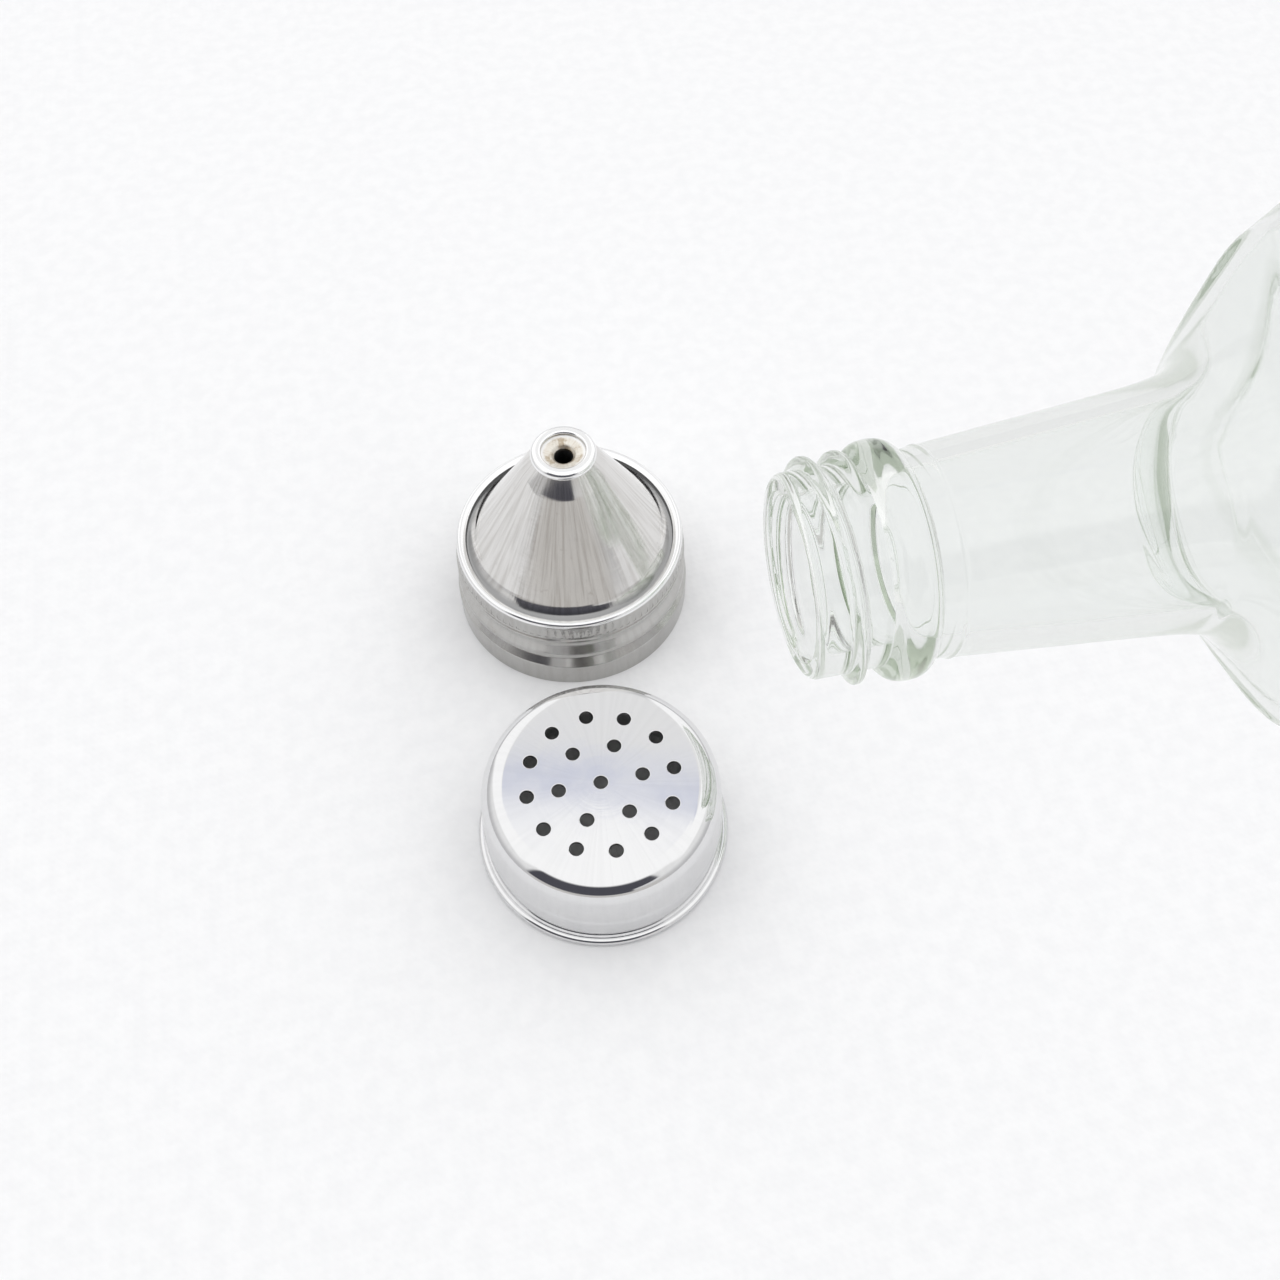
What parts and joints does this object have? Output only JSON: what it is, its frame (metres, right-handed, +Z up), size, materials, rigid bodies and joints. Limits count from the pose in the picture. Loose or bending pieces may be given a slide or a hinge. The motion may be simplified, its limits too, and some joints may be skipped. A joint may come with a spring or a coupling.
{
  "type": "cruet bottle with screw caps",
  "caption": "Square glass cruet bottle lying on its side, with a conical steel pouring cap and a perforated steel shaker cap standing beside its threaded neck.",
  "frame": {"origin": "centre of the flat side that the bottle lies on, at the level of the table", "axes": "+X along the bottle from its mouth to its base, +Z up, away from the table"},
  "size_m": [0.2062, 0.0754, 0.066],
  "materials": {
    "glass": "clear soda-lime glass with a faint green cast, moulded and fire polished",
    "steel": "spun and polished stainless steel with fine turning lines",
    "liner": "natural polypropylene, moulded",
    "gasket": "translucent white silicone"
  },
  "bodies": {
    "bottle": {"bottle": "glass"},
    "pourer_cone": {"pouring_cone": "steel", "spout_nozzle": "steel", "pourer_gasket": "gasket"},
    "pourer_collar": {"pourer_collar": "steel", "pourer_thread_ring": "liner"},
    "shaker_cap": {"shaker_cap": "steel", "shaker_thread_ring": "liner"}
  },
  "joints": [
    {"name": "pourer_lift", "type": "slide", "parent": "bottle", "child": "pourer_cone", "axis": [0, 0, 1], "range_m": [0, 0.08]},
    {"name": "collar_turn", "type": "hinge", "parent": "pourer_cone", "child": "pourer_collar", "pos_m": [-0.1407, 0.0264, 0.005], "axis": [0, 0, 1], "continuous": true},
    {"name": "shaker_lift", "type": "slide", "parent": "bottle", "child": "shaker_cap", "axis": [0, 0, 1], "range_m": [0, 0.08]}
  ]
}
